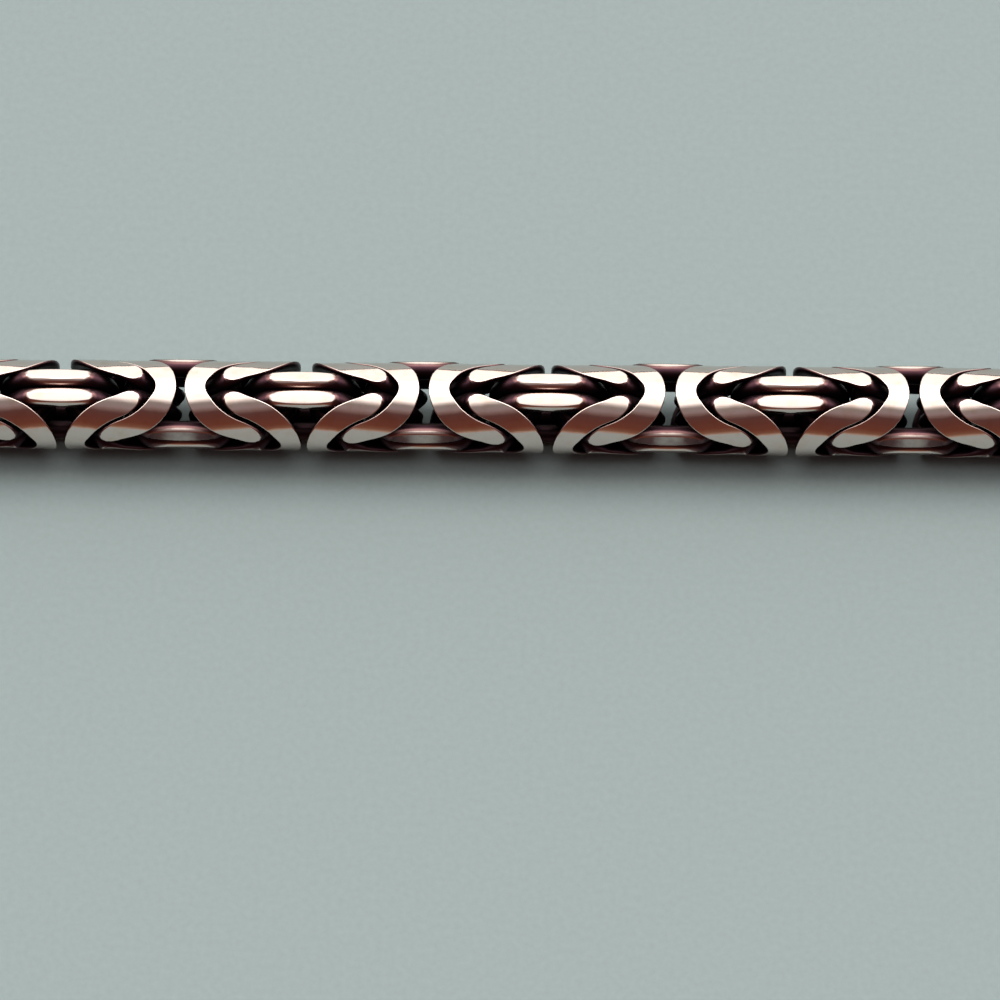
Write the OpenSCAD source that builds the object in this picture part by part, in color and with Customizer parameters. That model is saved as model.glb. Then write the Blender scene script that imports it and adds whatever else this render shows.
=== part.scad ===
// Byzantine neck chain drawn round, closed by a plain barrel clasp, lying flat as a long loop.
// Millimetres, +Z up. The origin is under the middle of the loop, on the surface it lies on.
// X runs along the straight front stretch, Y runs from the front stretch to the clasp.

/* [Chain] */
// Outside diameter of the round chain
chain_d = 5; // [5:0.5:8]
// Knots in the straight front stretch, an even number
front_knots = 12; // [8:2:12]
// Knots in each half of the chain between the front stretch and the clasp
side_knots = 30; // [24:2:36]

/* [Clasp] */
// Length of the barrel
clasp_length = 18; // [14:1:24]
// Wall of the cups that hold the ends of the chain
cup_wall = 0.6; // [0.5:0.1:1]
// How far each end of the chain goes into its cup
cup_depth = 2.5; // [2:0.5:4]

/* [Hidden] */

// The pitch is the distance between two stations, where pairs of connectors join the knots
chain_r = chain_d / 2;
pitch = 1.358 * chain_d;

// One half of a knot ring, from its end on the chain's face to its end inside the connectors.
// Lengths are parts of the chain's diameter.
// along: distance from the station whose connectors it holds
// turn: degrees round the chain from the face where the ring shows
// out: distance of the wire's centre from the chain's axis
// wide, deep: the wire's size across the chain's face and towards its axis
knot_half = [
    // along, turn, out, wide, deep
    [1.190, 0, 0.415, 0.19, 0.150],
    [1.160, 30, 0.418, 0.18, 0.150],
    [1.075, 42, 0.418, 0.18, 0.150],
    [0.830, 55, 0.415, 0.17, 0.150],
    [0.620, 65, 0.418, 0.17, 0.150],
    [0.460, 70, 0.395, 0.16, 0.155],
    [0.345, 72, 0.270, 0.16, 0.160],
    [0.160, 0, 0.100, 0.16, 0.160]
];

// A connector is an oval ring, long along the chain, and a pair stands side by side
connector_sections = 12;
connector_long = 0.490 * chain_d;
connector_tall = 0.410 * chain_d;
connector_side = 0.092 * chain_d;
connector_wire = 0.160 * chain_d;

// Section of the drawn wire, as parts of its half width and half depth: flat outside, rounder inside
wire_section = [
    // across, out
    [0.80, 1.00],
    [1.00, 0.10],
    [0.50, -1.00],
    [-0.50, -1.00],
    [-1.00, 0.10],
    [-0.80, 1.00]
];

// Barrel clasp: room round the chain in a cup, and a bead round each rim
cup_gap = 0.15;
rim_bead = 0.5;
barrel_r = chain_r + cup_gap + cup_wall;
clasp_z = barrel_r + rim_bead / 2;

// The loop: a straight front, a half circle at each end and a straight far side round the clasp
front_half = front_knots / 2 * pitch;
cup_floor = clasp_length / 2 - cup_depth;
bend_r = (side_knots * pitch - front_half + cup_floor) / PI;
// The clasp stands out past the chain, so the loop is set forward to keep the origin in the middle
loop_y = -(clasp_z - chain_r) / 2;

// The stretches behind are plain round lengths as thick as the chain
tube_sides = 10;
tube_start = connector_long + connector_wire / 2 + 0.2;
tube_end = cup_floor + 0.1;
bend_steps = 26;
rise_start = clasp_length / 2 + 18;
rise_end = clasp_length / 2 + 2;
rise_steps = 6;

function unit(v) = v / norm(v);
function wrap(i, n) = (i + n) % n;

// A point of the chain's cross section at a distance along, an angle from a face and a radius
function around(along, turn, out) = [along, out * sin(turn), out * cos(turn)];

// A table of one half of a ring, closed by the mirrored half
function both_halves(half) =
    let (n = len(half))
    concat(half, [for (i = [n - 2:-1:1]) [half[i][0], -half[i][1], half[i][2], half[i][3], half[i][4]]]);

// Skin of a closed ring: a loop of section points round each centre point.
// face is the direction that the wire's flat side turns to there.
function ring_skin(centre, face, wide, deep) =
    let (n = len(centre))
    [for (i = [0:n - 1])
        let (
            way = unit(centre[wrap(i + 1, n)] - centre[wrap(i - 1, n)]),
            out = unit(face[i] - way * (face[i] * way)),
            across = cross(way, out)
        )
        for (s = wire_section)
            centre[i] + across * s[0] * wide[i] / 2 + out * s[1] * deep[i] / 2];

// A knot ring that shows on the upper face, held by the connectors at the origin
function knot_skin() =
    let (rows = both_halves(knot_half))
    ring_skin(
        [for (r = rows) around(r[0], r[1], r[2]) * chain_d],
        [for (r = rows) around(0, r[1], 1)],
        [for (r = rows) r[3] * chain_d],
        [for (r = rows) r[4] * chain_d]
    );

// A connector in the XZ plane, on one side of the chain's axis
function connector_skin(side) =
    let (angles = [for (i = [0:connector_sections - 1]) 360 * (i + 0.5) / connector_sections])
    ring_skin(
        [for (a = angles) [connector_long * cos(a), side * connector_side, connector_tall * sin(a)]],
        [for (a = angles) [cos(a), 0, sin(a)]],
        [for (a = angles) connector_wire],
        [for (a = angles) connector_wire]
    );

// Faces between loops of points; first is the index of the first point.
// A closed strip joins its last loop to its first, an open one has a flat cap at each end.
function strip_faces(loops, sides, first, closed) =
    concat(
        [for (i = [0:loops - (closed ? 1 : 2)])
            for (j = [0:sides - 1])
                let (
                    here = first + i * sides,
                    next = first + wrap(i + 1, loops) * sides,
                    k = wrap(j + 1, sides)
                )
                each [[here + j, next + k, here + k], [here + j, next + j, next + k]]],
        closed ? [] : [
            [for (j = [0:sides - 1]) first + j],
            [for (j = [sides - 1:-1:0]) first + (loops - 1) * sides + j]
        ]
    );

// Quarter turns of a point round the chain's axis
function quarter(p, turns) =
    turns == 0 ? p :
    turns == 1 ? [p[0], p[2], -p[1]] :
    turns == 2 ? [p[0], -p[1], -p[2]] :
    [p[0], -p[2], p[1]];

// A link's skin set at a station, pointing along the chain or back along it
function placed(skin, turns, station, back) =
    [for (p = skin)
        let (q = quarter(back ? [-p[0], -p[1], p[2]] : p, turns))
        [station * pitch + q[0], q[1], q[2]]];

// Several separate skins as one polyhedron
module skins(list, sides, closed) {
    sizes = [for (skin = list) len(skin)];
    starts = [for (i = 0, sum = 0; i < len(list); sum = sum + sizes[i], i = i + 1) sum];
    polyhedron(
        points = [for (skin = list) each skin],
        faces = [for (i = [0:len(list) - 1]) each strip_faces(sizes[i] / sides, sides, starts[i], closed)]
    );
}

// Stations run along X. The pairs at even ones show on the upper and lower faces, at odd ones on the sides.
module front_chain() {
    last = front_knots / 2;
    knot = knot_skin();
    connector = [connector_skin(-1), connector_skin(1)];
    knots = [for (k = [-last:last - 1])
        let (odd = abs(k % 2))
        for (turn = [0, 2])
            each [placed(knot, turn + odd, k, false), placed(knot, turn + 1 - odd, k + 1, true)]];
    pairs = [for (k = [-last:last])
        for (ring = connector)
            placed(ring, abs(k % 2), k, false)];
    color("silver")
        translate([0, loop_y - bend_r, chain_r])
            skins(concat(knots, pairs), len(wire_section), true);
}

// The route of the right half of the plain stretch, each row with its point and its heading
function side_route() =
    concat(
        [[[front_half + tube_start, -bend_r, chain_r], 0]],
        [for (i = [1:bend_steps])
            let (a = 180 * i / bend_steps)
            [[front_half + bend_r * sin(a), -bend_r * cos(a), chain_r], a]],
        [for (i = [0:rise_steps])
            let (t = i / rise_steps, lift = (1 - cos(180 * t)) / 2)
            [[
                rise_start + (rise_end - rise_start) * t,
                bend_r,
                chain_r + (clasp_z - chain_r) * lift
            ], 180]],
        [[[tube_end, bend_r, clasp_z], 180]]
    );

// Skin of the plain stretch, with a corner of its section on the surface below
function side_skin(mirrored) =
    [for (row = side_route())
        for (j = [0:tube_sides - 1])
            let (
                a = 360 * (mirrored ? j : -j) / tube_sides,
                side = chain_r * sin(a),
                x = row[0][0] + side * sin(row[1]),
                y = row[0][1] - side * cos(row[1]),
                z = row[0][2] - chain_r * cos(a)
            )
            [mirrored ? -x : x, y, z]];

module back_chain() {
    color("silver")
        translate([0, loop_y, 0])
            skins([side_skin(false), side_skin(true)], tube_sides, false);
}

// A plain barrel with an open cup at each end, as a half section turned about the chain's axis
module clasp() {
    half = clasp_length / 2;
    color("silver")
        translate([0, loop_y + bend_r, clasp_z])
            rotate([0, 90, 0])
                difference() {
                    union() {
                        cylinder(r = barrel_r, h = clasp_length, center = true, $fn = 64);
                        for (end = [-1, 1])
                            translate([0, 0, end * (half - rim_bead / 2)])
                                rotate_extrude($fn = 64)
                                    translate([barrel_r, 0])
                                        circle(d = rim_bead, $fn = 24);
                    }
                    for (end = [-1, 1])
                        translate([0, 0, end * (half - cup_depth / 2 + 0.5)])
                            cylinder(r = chain_r + cup_gap, h = cup_depth + 1, center = true, $fn = 64);
                }
}

front_chain();
back_chain();
clasp();
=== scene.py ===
import math
import random
import bmesh
import bpy
from mathutils import Matrix, Vector


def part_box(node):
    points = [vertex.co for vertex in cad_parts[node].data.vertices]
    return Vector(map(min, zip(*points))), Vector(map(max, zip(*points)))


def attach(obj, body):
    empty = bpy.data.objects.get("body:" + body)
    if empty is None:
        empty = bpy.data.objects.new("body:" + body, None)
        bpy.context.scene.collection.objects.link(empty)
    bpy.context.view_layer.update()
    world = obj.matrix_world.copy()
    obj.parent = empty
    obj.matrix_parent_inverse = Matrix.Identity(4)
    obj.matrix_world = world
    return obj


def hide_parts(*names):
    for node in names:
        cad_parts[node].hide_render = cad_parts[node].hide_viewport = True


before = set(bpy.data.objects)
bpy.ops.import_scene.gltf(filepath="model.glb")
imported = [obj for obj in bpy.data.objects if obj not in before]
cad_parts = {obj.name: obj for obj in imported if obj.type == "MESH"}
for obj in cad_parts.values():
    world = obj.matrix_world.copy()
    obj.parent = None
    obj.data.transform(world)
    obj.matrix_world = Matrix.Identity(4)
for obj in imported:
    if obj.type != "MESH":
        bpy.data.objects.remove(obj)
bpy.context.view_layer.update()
mm = 0.001


def deselectAll():
    if bpy.context.mode != "OBJECT":
        bpy.ops.object.mode_set(mode="OBJECT")
    bpy.ops.object.select_all(action="DESELECT")


def pickOnly(piece):
    deselectAll()
    piece.select_set(True)
    bpy.context.view_layer.objects.active = piece


def added(name):
    piece = bpy.context.view_layer.objects.active
    piece.name = name
    piece.data.name = name
    return piece


def applyModifier(piece, kind, **settings):
    pickOnly(piece)
    modifier = piece.modifiers.new(kind.title(), kind)
    for key, value in settings.items():
        setattr(modifier, key, value)
    bpy.ops.object.modifier_apply(modifier=modifier.name)


def joinPieces(pieces, name):
    deselectAll()
    for piece in pieces:
        piece.select_set(True)
    bpy.context.view_layer.objects.active = pieces[0]
    if len(pieces) > 1:
        bpy.ops.object.join()
    return added(name)


def linearColour(hexText, strength=1.0):
    # sRGB hex to the linear values that the shaders work in
    parts = [int(hexText[i:i + 2], 16) / 255 for i in (1, 3, 5)]
    linear = [p / 12.92 if p <= 0.04045 else ((p + 0.055) / 1.055) ** 2.4 for p in parts]
    return [part * strength for part in linear] + [1.0]


def addNode(tree, kind, settings=None, values=None, links=None):
    # settings are the node's own options, values its unlinked sockets, links socket -> (node, output)
    node = tree.nodes.new(kind)
    for key, value in (settings or {}).items():
        setattr(node, key, value)
    for key, value in (values or {}).items():
        node.inputs[key].default_value = value
    for key, (source, output) in (links or {}).items():
        tree.links.new(source.outputs[output], node.inputs[key])
    return node


def middleOf(node):
    low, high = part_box(node)
    return (Vector(low) + Vector(high)) / 2


view = {
    "elevation": 64.0,             # degrees above the table
    "roll": 0.52,                  # the chain runs a little downhill to the right
    "lens": 200.0,                 # mm, long, so the view is nearly parallel
    "sensor": 36.0,                # mm
    "frameWidth": 55.9,            # mm seen across the picture at the chain
    "axisAboveMiddle": 5.115,      # mm from the middle of the picture up to the chain's axis
    "middleX": -2.6,               # mm along the chain
}


def addCamera(values):
    axis = middleOf("front_chain")
    axis.x = values["middleX"] * mm
    lift = math.radians(values["elevation"])
    towards = Vector((0, -math.cos(lift), math.sin(lift)))
    upwards = Vector((0, math.sin(lift), math.cos(lift)))
    middle = axis - upwards * values["axisAboveMiddle"] * mm
    away = values["frameWidth"] * mm * values["lens"] / values["sensor"]
    bpy.ops.object.camera_add(location=middle + towards * away)
    camera = bpy.context.view_layer.objects.active
    camera.name = "benchCamera"
    camera.data.lens = values["lens"]
    camera.data.sensor_width = values["sensor"]
    camera.data.clip_start = 0.01
    roll = Matrix.Rotation(math.radians(values["roll"]), 4, towards)
    camera.rotation_euler = (roll @ towards.to_track_quat("Z", "Y").to_matrix().to_4x4()).to_euler()
    bpy.context.scene.camera = camera
    bpy.context.scene.view_settings.view_transform = "Standard"
    # The silver throws no bright specks onto the matt table
    bpy.context.scene.cycles.caustics_reflective = False


addCamera(view)
print("camera set")

table = {
    "size": 3.0,                   # m
    "colour": "#717d7e",           # pale grey-green under a strong light
    "grain": 0.35,                 # mm
    "mottle": 0.09,                # how much lighter and darker the grain is
}
# The room as the chain reflects it: degrees from the table's near edge, over the top and down behind,
# with the colour and the strength of the light there
studio = [
    (0, "#a08a7c", 1.4),           # table's edge
    (5, "#74503f", 1.4),
    (14, "#63392d", 1.4),          # warm dark wall behind the camera
    (33, "#5a352d", 1.4),
    (46, "#553835", 1.4),
    (52, "#735e5a", 1.4),          # ceiling
    (58, "#88797a", 1.4),
    (68, "#857e7b", 1.4),
    (72, "#b8b0ac", 1.45),
    (79, "#fffcf7", 1.82),         # edge of the white softbox
    (92, "#fffcf7", 1.90),
    (104, "#fffcf7", 5.15),        # its lamp
    (128, "#fffcf7", 5.15),
    (138, "#fffcf7", 1.86),        # white wall behind
    (180, "#fffcf7", 1.72),
]


def addTable(values):
    deselectAll()
    bpy.ops.mesh.primitive_plane_add(size=values["size"], location=(0, 0, 0))
    top = added("paleTable")
    material = bpy.data.materials.new("matt painted board")
    material.use_nodes = True
    tree = material.node_tree
    shader = tree.nodes["Principled BSDF"]
    shader.inputs["Roughness"].default_value = 0.8
    place = addNode(tree, "ShaderNodeTexCoord")
    grain = addNode(tree, "ShaderNodeTexNoise", {}, {"Scale": 1 / (values["grain"] * mm), "Detail": 3.0},
                    {"Vector": (place, "Object")})
    tone = addNode(tree, "ShaderNodeMix", {"data_type": "RGBA"}, links={"Factor": (grain, "Fac")})
    tone.inputs["A"].default_value = linearColour(values["colour"], 1 - values["mottle"])
    tone.inputs["B"].default_value = linearColour(values["colour"], 1 + values["mottle"])
    tree.links.new(tone.outputs["Result"], shader.inputs["Base Color"])
    top.data.materials.append(material)


def addLights(stops):
    room = bpy.data.worlds.new("softStudio")
    bpy.context.scene.world = room
    room.use_nodes = True
    tree = room.node_tree
    place = addNode(tree, "ShaderNodeTexCoord")
    split = addNode(tree, "ShaderNodeSeparateXYZ", links={"Vector": (place, "Generated")})
    near = addNode(tree, "ShaderNodeMath", {"operation": "MULTIPLY"}, {1: -1.0}, {0: (split, "Y")})
    height = addNode(tree, "ShaderNodeMath", {"operation": "ARCTAN2"}, {},
                     {0: (split, "Z"), 1: (near, "Value")})
    part = addNode(tree, "ShaderNodeMath", {"operation": "DIVIDE"}, {1: math.pi}, {0: (height, "Value")})
    ramp = addNode(tree, "ShaderNodeValToRGB", links={"Fac": (part, "Value")})
    elements = ramp.color_ramp.elements
    for i, (degrees, colour, strength) in enumerate(stops):
        stop = elements[i] if i < 2 else elements.new(degrees / 180)
        stop.position = degrees / 180
        stop.color = linearColour(colour, strength)
    tree.links.new(ramp.outputs["Color"], tree.nodes["Background"].inputs["Color"])


addTable(table)
addLights(studio)
print("table and lights set")

# Sterling silver links, blackened and then drawn through a die: bright flats outside, dark oxide in
# the gaps
silver = {
    "warm": "#f9f2e9",             # the first thin tarnish, in patches on the flats
    # From the gaps outwards: the part of the chain's radius, the colour and the roughness there
    "layers": [
        (0.70, "#23171a", 0.42),   # thick oxide
        (0.90, "#38242a", 0.36),
        (0.955, "#6a4d4c", 0.26),  # oxide rubbed thin
        (0.985, "#dacbc4", 0.085), # polished
    ],
    "underFlat": 0.065,            # the polish stops at once beside a flat
    "waveLength": 1.1,             # mm, slow unevenness that makes reflections waver
    "waveHeight": 0.005,
    "scratchSpacing": 0.07,        # mm, drawn about twice as coarse as it is, so that it shows
    "scratchLength": 1.6,
    "scratchHeight": 0.0006,
    "blotch": 0.7,                 # mm across a patch of tarnish
    "blotchShift": 0.03,           # how far a patch moves the layers, as a part of the radius
    "patchFrom": 0.5,              # the noise where warm patches start, and where they are full
    "patchFull": 0.75,
}


def silverMaterial(values):
    material = bpy.data.materials.new("oxidised drawn silver")
    material.use_nodes = True
    tree = material.node_tree
    shader = tree.nodes["Principled BSDF"]
    shader.inputs["Metallic"].default_value = 1.0
    # reach says how far out from the chain's axis a point lies, drawn where it lies on its own link
    reach = addNode(tree, "ShaderNodeAttribute", {"attribute_name": "reach"})
    drawn = addNode(tree, "ShaderNodeAttribute", {"attribute_name": "drawn"})

    def noiseOn(size, detail):
        scaled = addNode(tree, "ShaderNodeVectorMath", {"operation": "DIVIDE"},
                         {1: [part * mm for part in size]}, {0: (drawn, "Vector")})
        return addNode(tree, "ShaderNodeTexNoise", values={"Scale": 1.0, "Detail": detail},
                       links={"Vector": (scaled, "Vector")})

    spacing = values["scratchSpacing"]
    blotch = noiseOn([values["blotch"]] * 3, 3.0)
    wave = noiseOn([values["waveLength"]] * 3, 1.0)
    scratch = noiseOn([values["scratchLength"], spacing, spacing], 2.0)

    shift = values["blotchShift"]
    shifted = addNode(tree, "ShaderNodeMath", {"operation": "MULTIPLY_ADD"}, {1: shift, 2: -shift / 2},
                      {0: (blotch, "Fac")})
    uneven = addNode(tree, "ShaderNodeMath", {"operation": "ADD"}, {},
                     {0: (reach, "Fac"), 1: (shifted, "Value")})
    layers = addNode(tree, "ShaderNodeValToRGB", links={"Fac": (uneven, "Value")})
    roughness = addNode(tree, "ShaderNodeValToRGB", links={"Fac": (uneven, "Value")})
    for i, (position, colour, rough) in enumerate(values["layers"]):
        for node, tone in ((layers, linearColour(colour)), (roughness, [rough, rough, rough, 1])):
            elements = node.color_ramp.elements
            stop = elements[i] if i < 2 else elements.new(position)
            stop.position = position
            stop.color = tone
    patch = addNode(tree, "ShaderNodeMapRange", {},
                    {"From Min": values["patchFrom"], "From Max": values["patchFull"]},
                    {"Value": (blotch, "Fac")})
    tone = addNode(tree, "ShaderNodeMix", {"data_type": "RGBA", "blend_type": "MULTIPLY"}, {},
                   {"Factor": (patch, "Result"), "A": (layers, "Color")})
    tone.inputs["B"].default_value = linearColour(values["warm"])
    waved = addNode(tree, "ShaderNodeBump", {},
                    {"Strength": 1.0, "Distance": values["waveHeight"] * mm},
                    {"Height": (wave, "Fac")})
    scratched = addNode(tree, "ShaderNodeBump", {},
                        {"Strength": 1.0, "Distance": values["scratchHeight"] * mm},
                        {"Height": (scratch, "Fac"), "Normal": (waved, "Normal")})
    tree.links.new(tone.outputs[2], shader.inputs["Base Color"])
    tree.links.new(roughness.outputs["Color"], shader.inputs["Roughness"])
    tree.links.new(scratched.outputs["Normal"], shader.inputs["Normal"])
    return material


drawnSilver = silverMaterial(silver)

chain = {
    "diameter": 5.0,               # mm, across the round chain
    "pitchByDiameter": 1.358,      # from one station of connectors to the next
    "frontKnots": 12,
    "sideKnots": 30,
    "playSeed": 15915,
    "leftPulled": 0.035,           # how much further some inner ends reach on the left, for narrower slits
    "patternRange": 40.0,          # mm, each link's scratches start anywhere in this
    "smoothAngle": 60,             # degrees
}
diameter = chain["diameter"] * mm
radius = diameter / 2
pitch = chain["pitchByDiameter"] * diameter

# The links' sizes are parts of the chain's diameter.
# Half of a knot ring, from its end on the chain's face to its end in the connectors. Each row has the
# distance from the station that holds the ring, the degrees round the chain from the ring's face, the
# distance from the axis, and half of the wire's width and depth
knotHalf = [
    (1.192, 0, 0.477, 0.1155, 0.090),
    (1.176, 11.6, 0.477, 0.118, 0.090),
    (1.131, 22.8, 0.478, 0.128, 0.088),
    (1.046, 36.4, 0.479, 0.131, 0.086),
    (0.923, 48.6, 0.479, 0.131, 0.086),
    (0.800, 56.4, 0.478, 0.126, 0.086),
    (0.675, 62.1, 0.475, 0.121, 0.090),
    (0.605, 66.5, 0.459, 0.119, 0.093),
    (0.553, 69.8, 0.438, 0.116, 0.096),
    (0.512, 72.0, 0.412, 0.110, 0.098),
    (0.470, 73.2, 0.369, 0.104, 0.099),
    (0.385, 71.0, 0.305, 0.098, 0.098),
    (0.300, 62.0, 0.226, 0.098, 0.098),
    (0.139, 0, 0.118, 0.098, 0.098),
]
# Quarter of a connector's middle line, along the chain and up, from its top to its end
connectorQuarter = [
    (0.0, 0.392), (0.14, 0.3885), (0.25, 0.3815), (0.345, 0.370),
    (0.425, 0.330), (0.492, 0.262), (0.543, 0.16), (0.561, 0.0),
]
connector = {
    "side": 0.114,                 # a pair stands this far each side of the axis
    "wire": 0.112,                 # half of the wire's thickness
    "topRubbed": (0.935, 0.130),   # reach of its flat, and how much brighter its middle is rubbed
    "sidePaintedShade": (0.885, 0.090),  # painted shade: the pairs that face the sides are made duller and darker than those above and below
    "rubbedHalf": 0.43,            # how far along it is rubbed
    "settledBack": 0.020,          # the pairs that show at the sides sit this far behind the axis
}
# The die that the woven chain was drawn through
die = {
    "pressedFrom": 0.9985,         # a point this far out, as a part of the radius, lies on a flat
    "softest": 0.15,               # a flat's rounded edge is at most this part of its width
    "softEnd": 2.2,                # where the rounding ends, in widths of the edge
    "diveSpread": 0.15,            # where the wire dives under the die's wall: radians each side of its top
    "diveGain": 1.03,              # how much wider the points are spread further down
    "diveDepth": 0.05,             # and how deep that is
    "plainSide": 0.9,              # radians from a flat's edge to the next point of a plain ring
}
# loops: from each row to the next. edge: how far the flat's edge is rounded off
fine = {
    "knotRows": range(14), "knotLoops": (2, 2, 2, 3, 3, 3, 3, 3, 4, 4, 3, 2, 3),
    "connectorRows": range(8), "connectorLoops": (2, 2, 3, 3, 2, 2, 2),
    "sides": 16, "edge": 0.0045,
}


def placeSection(piece, first, sides, start, goal, sizes):
    # One loop of the torus is sized, turned and moved as a user would do it by hand
    mesh = bmesh.from_edit_mesh(piece.data)
    mesh.verts.ensure_lookup_table()
    for vertex in mesh.verts:
        vertex.select = False
    for i in range(first, first + sides):
        mesh.verts[i].select = True
    mesh.select_flush(True)
    bmesh.update_edit_mesh(piece.data)
    centre = start.translation
    bpy.ops.transform.resize(value=sizes, orient_matrix=start.to_3x3().transposed(),
                             orient_matrix_type="GLOBAL", orient_type="GLOBAL", center_override=centre)
    turn = (goal.to_3x3() @ start.to_3x3().inverted()).to_quaternion()
    axis, angle = turn.to_axis_angle()
    if abs(angle) > 1e-6:
        side = axis.orthogonal().normalized()
        turnAxes = Matrix((side, axis.cross(side), axis))
        bpy.ops.transform.rotate(value=-angle, orient_axis="Z", orient_matrix=turnAxes,
                                 orient_matrix_type="GLOBAL", orient_type="GLOBAL", center_override=centre)
    bpy.ops.transform.translate(value=goal.translation - centre)


def wireFrames(centres, faces):
    # At each point of a ring: its place, the wire's way, across it, and the side that faces out
    frames = []
    for i, (centre, face) in enumerate(zip(centres, faces)):
        way = (centres[(i + 1) % len(centres)] - centres[i - 1]).normalized()
        face = (face - way * face.dot(way)).normalized()
        frames.append((centre, way, way.cross(face), face))
    return frames


def bentRing(name, frames, halves, sides):
    # A torus with one loop for each point of the ring's middle line
    deselectAll()
    major, minor = 2.0 * mm, 0.5 * mm
    bpy.ops.mesh.primitive_torus_add(major_segments=len(frames), minor_segments=sides, major_radius=major,
                                     minor_radius=minor, location=(0, 0, 0), generate_uvs=False)
    ring = added(name)
    bpy.ops.object.mode_set(mode="EDIT")
    for i, ((centre, way, across, face), (wide, deep)) in enumerate(zip(frames, halves)):
        angle = 2 * math.pi * i / len(frames)
        outwards = Vector((math.cos(angle), math.sin(angle), 0))
        along = Vector((-math.sin(angle), math.cos(angle), 0))
        start = Matrix((outwards, along, Vector((0, 0, 1)))).transposed().to_4x4()
        start.translation = outwards * major
        goal = Matrix((across, way, face)).transposed().to_4x4()
        goal.translation = centre
        placeSection(ring, i * sides, sides, start, goal, (wide / minor, 1, deep / minor))
    bpy.ops.object.mode_set(mode="OBJECT")
    return ring


def loopsThrough(rows, steps):
    # Closed smooth curve through the rows, with so many loops from each row to the next
    picked = []
    for i, count in enumerate(steps):
        before, here, there, after = (rows[(i + j) % len(rows)] for j in (-1, 0, 1, 2))
        for k in range(count):
            t = k / count
            picked.append([
                0.5 * (2 * q + (r - p) * t + (2 * p - 5 * q + 4 * r - s) * t * t
                       + (3 * q - p - 3 * r + s) * t ** 3)
                for p, q, r, s in zip(before, here, there, after)])
    return picked


def lastInside(inside, low, high, halvings=30):
    for step in range(halvings):
        middle = (low + high) / 2
        if inside(middle):
            low = middle
        else:
            high = middle
    return low


def drawThrough(ring, frames, halves, sides, edge, values):
    # The woven chain was drawn round through a die. The points of each loop slide along the wire so that
    # the flat's edges follow two lines of points, and those between them are pressed onto the die's wall
    top = math.pi / 2
    for i, ((centre, way, across, face), (wide, deep)) in enumerate(zip(frames, halves)):
        def onWire(angle):
            return centre + across * wide * math.cos(angle) + face * deep * math.sin(angle)

        def spare(point):
            return radius - math.hypot(point.y, point.z)

        def onDie(offset):
            height = lastInside(lambda h: spare(centre + across * offset + face * h) > 0, -deep, 3 * deep)
            return centre + across * offset + face * height

        loop = ring.data.vertices[i * sides:(i + 1) * sides]
        right = left = top
        if spare(onWire(top)) < 0:
            right = lastInside(lambda angle: spare(onWire(angle)) > 0, 0, top)
            left = lastInside(lambda angle: spare(onWire(angle)) > 0, math.pi, top)
        if sides < fine["sides"]:
            if left > right:
                further = values["plainSide"]
                for k, angle in enumerate((right - further, right, left, left + further)):
                    loop[k].co = onWire(angle)
            continue
        if left > right:
            low, high = wide * math.cos(left), wide * math.cos(right)
            soft = min(edge * diameter, values["softest"] * (high - low))
            softEnd = soft * values["softEnd"]
            start, end = left + soft / deep, right - soft / deep
            spots = [onWire(end), onDie(high - soft), onDie(high - softEnd), onDie((low + high) / 2),
                     onDie(low + softEnd), onDie(low + soft), onWire(start)]
        else:
            # Where the wire dives under the die's wall the points spread out round it again
            dived = min(1, spare(onWire(top)) / (values["diveDepth"] * diameter))
            spread = values["diveSpread"] + values["diveGain"] * dived
            start, end = top + spread, top - spread
            spots = [onWire(end + (start - end) * k / 6) for k in range(7)]
        for k, spot in enumerate(spots):
            loop[k + 1].co = spot
        steps = sides - len(spots) + 1
        for k in range(1, steps):
            loop[(k + len(spots)) % sides].co = onWire(start + (end + 2 * math.pi - start) * k / steps)


def markReach(piece, outer, pressed=1.0, worn=0.0, wornHalf=1.0):
    # How far out each point is from the X axis, as a part of the outer radius. What the die pressed has a
    # value of its own, and the middle of a connector is worn brighter, over wornHalf each way
    reach = piece.data.attributes.new("reach", "FLOAT", "POINT")
    for vertex, value in zip(piece.data.vertices, reach.data):
        part = math.hypot(vertex.co.y, vertex.co.z) / outer
        value.value = pressed if part > die["pressedFrom"] else part - silver["underFlat"]
        value.value += worn * max(0, 1 - (vertex.co.x / wornHalf) ** 2)


def markDrawn(piece, shift):
    # Where each point lies on its own link, so that the patterns follow the link
    drawn = piece.data.attributes.new("drawn", "FLOAT_VECTOR", "POINT")
    for vertex, value in zip(piece.data.vertices, drawn.data):
        value.vector = vertex.co + shift


def modelRing(name, centres, faces, halves, detail, pressed=1.0, worn=0.0, wornHalf=1.0):
    halves = [(wide * diameter, deep * diameter) for wide, deep in halves]
    frames = wireFrames([centre * diameter for centre in centres], faces)
    ring = bentRing(name, frames, halves, detail["sides"])
    drawThrough(ring, frames, halves, detail["sides"], detail["edge"], die)
    markReach(ring, radius, pressed, worn, wornHalf * diameter)
    return ring


def modelKnotRing(name, detail, pulled=0.0):
    # pulled: how much further its inner end reaches through the connectors
    half = [knotHalf[i] for i in detail["knotRows"]]
    half[-1] = (half[-1][0] - pulled,) + half[-1][1:]
    rows = []
    for along, turn, out, wide, deep in half + [(a, -t, o, w, d) for a, t, o, w, d in half[-2:0:-1]]:
        sine, cosine = math.sin(math.radians(turn)), math.cos(math.radians(turn))
        rows.append((along, out * sine, out * cosine, sine, cosine, wide, deep))
    loops = loopsThrough(rows, detail["knotLoops"] + detail["knotLoops"][::-1])
    return modelRing(name, [Vector(p[:3]) for p in loops], [Vector((0, p[3], p[4])) for p in loops],
                     [(p[5], p[6]) for p in loops], detail)


# wearAndShade: the reach of the flat and how much brighter the middle is rubbed; real wear, and for the
# side pairs also painted shade
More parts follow.
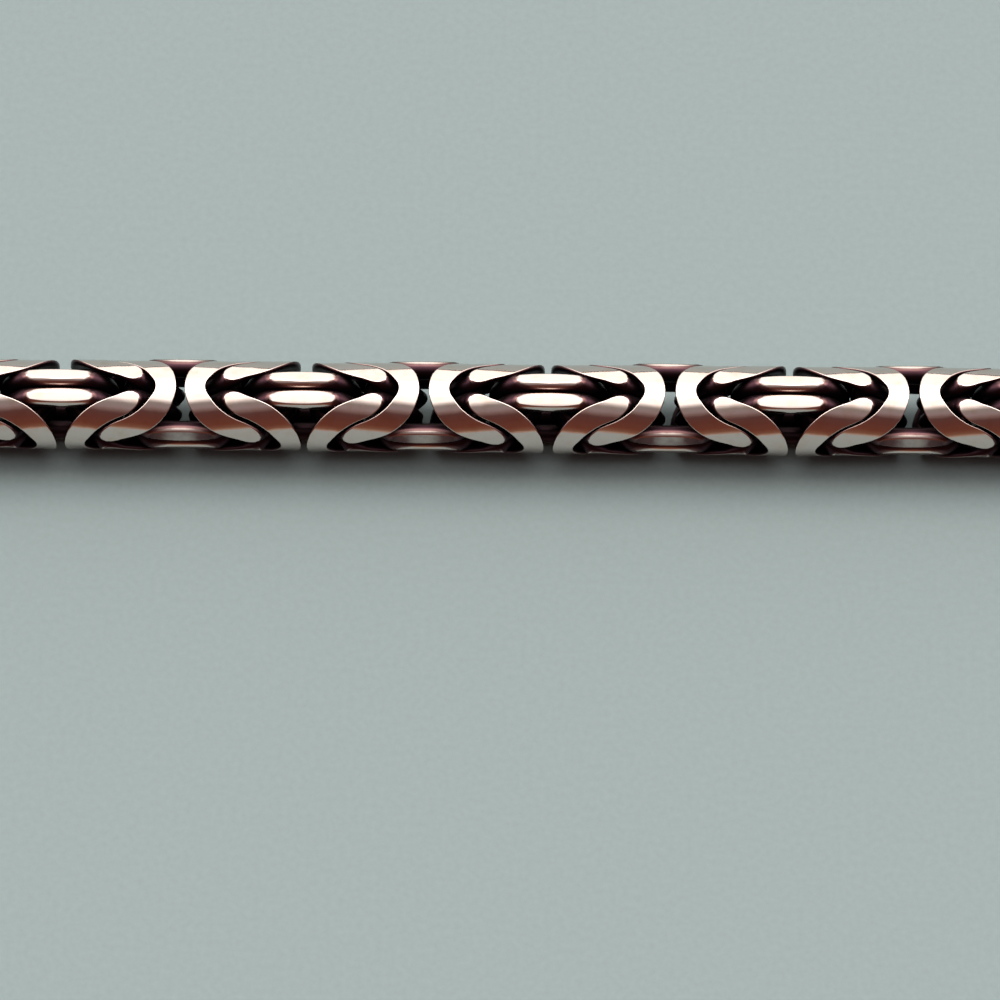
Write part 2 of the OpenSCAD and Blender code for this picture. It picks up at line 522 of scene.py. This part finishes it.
def modelConnector(name, detail, wearAndShade):
    quarterRows = [connectorQuarter[i] for i in detail["connectorRows"]]
    right = quarterRows + [(x, -z) for x, z in quarterRows[-2::-1]]
    rows = right + [(-x, z) for x, z in right[-2:0:-1]]
    steps = detail["connectorLoops"]
    loops = loopsThrough(rows, (steps + steps[::-1]) * 2)
    centres = [Vector((x, connector["side"], z)) for x, z in loops]
    # The wire faces away from the oval's inside
    faces = []
    for i in range(len(centres)):
        way = centres[(i + 1) % len(centres)] - centres[i - 1]
        faces.append(Vector((-way.z, 0, way.x)))
    halves = [(connector["wire"], connector["wire"])] * len(loops)
    return modelRing(name, centres, faces, halves, detail, wearAndShade[0], wearAndShade[1], connector["rubbedHalf"])


loose = random.Random(chain["playSeed"])
quarter = [Matrix.Rotation(-math.pi / 2 * n, 4, "X") for n in range(4)]
halfTurn = Matrix.Rotation(math.pi, 4, "Z")


def copyLink(link, name, place, play):
    # play: how far a link may slide, in mm, and turn or tip, in degrees
    copy = link.copy()
    copy.data = link.data.copy()
    copy.name = name
    bpy.context.scene.collection.objects.link(copy)
    along, across = loose.uniform(0, chain["patternRange"]), loose.uniform(0, chain["patternRange"])
    markDrawn(copy, Vector((along, across, 0)) * mm)
    slide = Matrix.Translation((loose.uniform(-1, 1) * play["slide"] * mm, 0, 0))
    turn = Matrix.Rotation(math.radians(loose.uniform(-1, 1) * play["turn"]), 4, "X")
    tip = Matrix.Rotation(math.radians(loose.uniform(-1, 1) * play["tip"]), 4, "Y")
    copy.data.transform(place @ slide @ turn @ tip)
    return copy


def weaveKnot(hereRing, thereRing, here, there, odd, pieces, play):
    # Two rings held by the connectors at one end, and two by those at the other end, a quarter turn on
    for turn in (0, 2):
        pieces.append(copyLink(hereRing, "knotLink", here @ quarter[turn + odd], play))
        pieces.append(copyLink(thereRing, "knotLink", there @ quarter[turn + 1 - odd] @ halfTurn, play))


def weavePair(link, here, odd, pieces, play):
    here = here @ Matrix.Translation((0, odd * connector["settledBack"] * diameter, 0))
    pieces.append(copyLink(link, "connectorLink", here @ quarter[odd], play))
    pieces.append(copyLink(link, "connectorLink", here @ quarter[odd + 2], play))


def finishPiece(pieces, name, node):
    piece = joinPieces(pieces, name)
    piece.data.materials.clear()
    piece.data.materials.append(drawnSilver)
    pickOnly(piece)
    bpy.ops.object.shade_smooth_by_angle(angle=math.radians(chain["smoothAngle"]))
    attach(piece, "root")
    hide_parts(node)
    print(name, len(piece.data.polygons), "faces")
    return piece


frontAxis = middleOf("front_chain")
claspMiddle = middleOf("clasp")
frontLast = chain["frontKnots"] // 2
frontPlay = {"slide": 0.15, "turn": 0.8, "tip": 0.5}


def frontStation(k):
    return Matrix.Translation((k * pitch, frontAxis.y, frontAxis.z))


knotRing = modelKnotRing("knotRing", fine)
pulledRing = modelKnotRing("pulledRing", fine, chain["leftPulled"])
connectorRing = modelConnector("connectorRing", fine, connector["topRubbed"])
# A duller, darker copy of the connector for the pairs that face the sides: painted shade
shadedSideConnectorRing = modelConnector("shadedSideConnectorRing", fine, connector["sidePaintedShade"])
knots, pairs = [], []
for k in range(-frontLast, frontLast):
    thereRing = pulledRing if k < 0 and k % 2 == 0 else knotRing
    weaveKnot(knotRing, thereRing, frontStation(k), frontStation(k + 1), abs(k % 2), knots, frontPlay)
for k in range(-frontLast, frontLast + 1):
    # The pairs at odd stations face the sides and take the copy with painted shade
    link = shadedSideConnectorRing if k % 2 else connectorRing
    weavePair(link, frontStation(k), abs(k % 2), pairs, frontPlay)
frontKnotLinks = finishPiece(knots, "frontKnotLinks", "front_chain")
frontConnectorLinks = finishPiece(pairs, "frontConnectorLinks", "front_chain")
bpy.data.objects.remove(knotRing)
bpy.data.objects.remove(pulledRing)
bpy.data.objects.remove(connectorRing)
bpy.data.objects.remove(shadedSideConnectorRing)

# Behind, the same links are plainer and follow the loop round to the clasp
plain = {
    "knotRows": (0, 2, 3, 5, 7, 9, 13), "knotLoops": (1, 1, 1, 1, 1, 1),
    "connectorRows": (0, 3, 5, 7), "connectorLoops": (1, 1, 1),
    "sides": 6, "edge": 0,
}
rise = {"from": 27.0, "to": 11.0}  # mm from the middle, where the chain climbs to the clasp's axis
plainPlay = {"slide": 0, "turn": 0, "tip": 0}
bendRadius = (claspMiddle.y - frontAxis.y) / 2
frontHalf = frontLast * pitch


def sidePoint(k):
    # A station of the right half of the loop, counted from the middle of the front
    run = (k - frontLast) * pitch
    angle = run / bendRadius
    if angle < math.pi:
        return Vector((frontHalf + bendRadius * math.sin(angle),
                       frontAxis.y + bendRadius * (1 - math.cos(angle)), frontAxis.z))
    x = frontHalf - (run - math.pi * bendRadius)
    climbed = min(1, max(0, (rise["from"] - x / mm) / (rise["from"] - rise["to"])))
    lift = (1 - math.cos(math.pi * climbed)) / 2
    return Vector((x, claspMiddle.y, frontAxis.z + (claspMiddle.z - frontAxis.z) * lift))


def stationOn(point, start, end):
    # A frame at a station, with X from one point of the route to the next and Z up
    along = (end - start).normalized()
    up = (Vector((0, 0, 1)) - along * along.z).normalized()
    place = Matrix((along, up.cross(along), up)).transposed().to_4x4()
    place.translation = point
    return place


knotRing = modelKnotRing("plainKnotRing", plain)
connectorRing = modelConnector("plainConnectorRing", plain, connector["topRubbed"])
knots, pairs = [], []
sideLast = frontLast + chain["sideKnots"]
for side in (1, -1):
    points = {k: sidePoint(k) for k in range(frontLast, sideLast + 1)}
    for point in points.values():
        point.x *= side
    for k in range(frontLast, sideLast):
        first, second = (k, k + 1) if side == 1 else (k + 1, k)
        start, end = points[first], points[second]
        here, there = stationOn(start, start, end), stationOn(end, start, end)
        weaveKnot(knotRing, knotRing, here, there, first % 2, knots, plainPlay)
    for k in range(frontLast + 1, sideLast):
        here = stationOn(points[k], points[k - side], points[k + side])
        weavePair(connectorRing, here, k % 2, pairs, plainPlay)
backKnotLinks = finishPiece(knots, "backKnotLinks", "back_chain")
backConnectorLinks = finishPiece(pairs, "backConnectorLinks", "back_chain")
bpy.data.objects.remove(knotRing)
bpy.data.objects.remove(connectorRing)

clasp = {
    "length": 18.0,                # mm
    "outside": 3.25,               # radius of the barrel
    "bore": 2.65,                  # radius of the cups
    "cupDepth": 2.5,
    "rimBead": 0.25,               # radius of the bead round each rim
    "softEdge": 0.12,
    "sides": 96,
    "beadSides": 16,
    "onAxis": 0.01,                # how near the axis the middle of a cup's floor has to be
}


def facesAlongX(piece, outward):
    # Meant to pick only the flat end faces of a piece on the X axis. Known fault: the flush also picks most
    # sides between them, whose corners are all picked, so the inset comes out uneven and no cup is cut
    mesh = bmesh.from_edit_mesh(piece.data)
    for face in mesh.faces:
        face.select = abs(face.normal.x) > 0.9 and abs(face.calc_center_median().x) > outward
    mesh.select_flush(True)
    bmesh.update_edit_mesh(piece.data)


def modelClasp(values):
    outside, half = values["outside"] * mm, values["length"] * mm / 2
    alongX = (0, math.pi / 2, 0)
    deselectAll()
    bpy.ops.mesh.primitive_cylinder_add(vertices=values["sides"], radius=outside, depth=2 * half,
                                        rotation=alongX)
    barrel = added("claspBarrel")
    bpy.ops.object.transform_apply(location=True, rotation=True, scale=True)
    bpy.ops.object.mode_set(mode="EDIT")
    facesAlongX(barrel, half * 0.9)
    bpy.ops.mesh.inset(thickness=outside - values["bore"] * mm, depth=0)
    for end in (1, -1):
        mesh = bmesh.from_edit_mesh(barrel.data)
        for face in mesh.faces:
            middle = face.calc_center_median()
            onAxis = math.hypot(middle.y, middle.z) < mm * values["onAxis"]
            face.select = abs(face.normal.x) > 0.9 and middle.x * end > half * 0.9 and onAxis
        mesh.select_flush(True)
        bmesh.update_edit_mesh(barrel.data)
        inwards = -end * values["cupDepth"] * mm
        bpy.ops.mesh.extrude_region_move(TRANSFORM_OT_translate={"value": (inwards, 0, 0)})
    bpy.ops.object.mode_set(mode="OBJECT")
    applyModifier(barrel, "BEVEL", width=values["softEdge"] * mm, segments=3, limit_method="ANGLE")
    parts = [barrel]
    for end in (1, -1):
        deselectAll()
        beadRadius = values["rimBead"] * mm
        bpy.ops.mesh.primitive_torus_add(major_segments=values["sides"], minor_segments=values["beadSides"],
                                         major_radius=outside, minor_radius=beadRadius, rotation=alongX,
                                         location=(end * (half - beadRadius), 0, 0), generate_uvs=False)
        bead = added("rimBead")
        bpy.ops.object.transform_apply(location=True, rotation=True, scale=True)
        parts.append(bead)
    barrel = joinPieces(parts, "claspBarrel")
    markReach(barrel, outside)
    markDrawn(barrel, Vector())
    barrel.data.transform(Matrix.Translation(claspMiddle))
    return barrel


claspBarrel = finishPiece([modelClasp(clasp)], "claspBarrel", "clasp")
